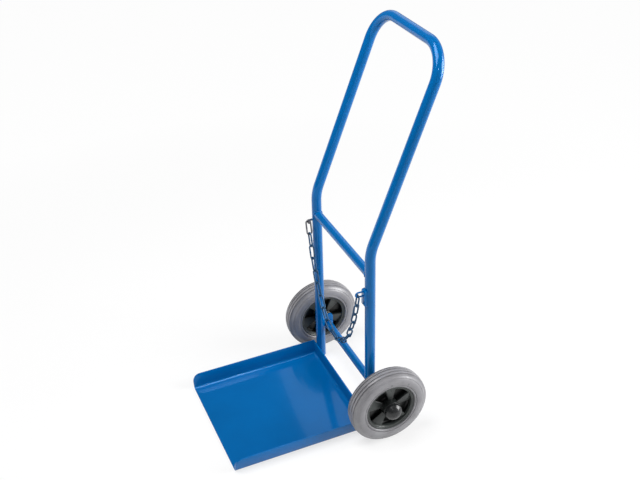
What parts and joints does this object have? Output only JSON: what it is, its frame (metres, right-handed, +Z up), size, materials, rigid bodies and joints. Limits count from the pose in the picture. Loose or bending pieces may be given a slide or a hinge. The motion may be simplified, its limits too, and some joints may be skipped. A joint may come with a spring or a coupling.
{
  "type": "gas cylinder hand truck",
  "caption": "Upright hand truck with a leaning tube handle, a lipped sheet tray, a hanging retaining chain and solid rubber wheels on fan-spoked plastic rims.",
  "frame": {"origin": "centre of the tray's underside, on the ground", "axes": "+Z up, +Y towards the rear, where the handle leans and the wheels are, +X towards the right of someone who faces the tray's open front; the pieces on that side are named right"},
  "size_m": [0.504, 0.549, 0.9686],
  "materials": {
    "blue_paint": "glossy blue paint over steel",
    "grey_rubber": "matt grey solid rubber",
    "black_plastic": "satin black moulded plastic",
    "cap_plastic": "glossy black moulded plastic",
    "bush_plastic": "plain off-white bearing plastic",
    "bright_zinc": "dull zinc plating",
    "spring_steel": "dark oiled spring steel",
    "dark_chain": "dark blue-black coated steel"
  },
  "bodies": {
    "frame": {"frame_tube": "blue_paint", "upper_crossbar": "blue_paint", "axle": "blue_paint", "gusset_left": "blue_paint", "gusset_right": "blue_paint", "tray": "blue_paint", "chain_hook": "bright_zinc", "anchor_pad": "blue_paint", "anchor_loop": "blue_paint", "collar_left": "blue_paint", "collar_right": "blue_paint", "spacer_left": "bright_zinc", "spacer_right": "bright_zinc", "inner_washer_left": "bright_zinc", "inner_washer_right": "bright_zinc", "outer_washer_left": "bright_zinc", "outer_washer_right": "bright_zinc", "retaining_ring_left": "spring_steel", "retaining_ring_right": "spring_steel"},
    "wheel_left": {"tyre_left": "grey_rubber", "rim_left": "black_plastic", "inner_bush_left": "bush_plastic", "outer_bush_left": "bush_plastic", "hub_cap_left": "cap_plastic"},
    "wheel_right": {"tyre_right": "grey_rubber", "rim_right": "black_plastic", "inner_bush_right": "bush_plastic", "outer_bush_right": "bush_plastic", "hub_cap_right": "cap_plastic"},
    "chain": {"link_1": "bright_zinc", "link_2": "dark_chain", "link_3": "dark_chain", "link_4": "dark_chain", "link_5": "dark_chain", "link_6": "dark_chain", "link_7": "dark_chain", "link_8": "dark_chain", "link_9": "dark_chain", "link_10": "dark_chain", "link_11": "dark_chain", "link_12": "dark_chain", "link_13": "dark_chain", "link_14": "dark_chain", "link_15": "dark_chain", "link_16": "dark_chain", "link_17": "dark_chain", "link_18": "dark_chain"}
  },
  "joints": [
    {"name": "wheel_left_spin", "type": "hinge", "parent": "frame", "child": "wheel_left", "pos_m": [-0.202, 0.21, 0.1], "axis": [1, 0, 0], "continuous": true},
    {"name": "wheel_right_spin", "type": "hinge", "parent": "frame", "child": "wheel_right", "pos_m": [0.202, 0.21, 0.1], "axis": [1, 0, 0], "continuous": true},
    {"name": "chain_swing", "type": "hinge", "parent": "frame", "child": "chain", "pos_m": [-0.1525, 0.163, 0.433], "axis": [0.9957, -0.0196, -0.091], "range_deg": [-85, 2]}
  ]
}
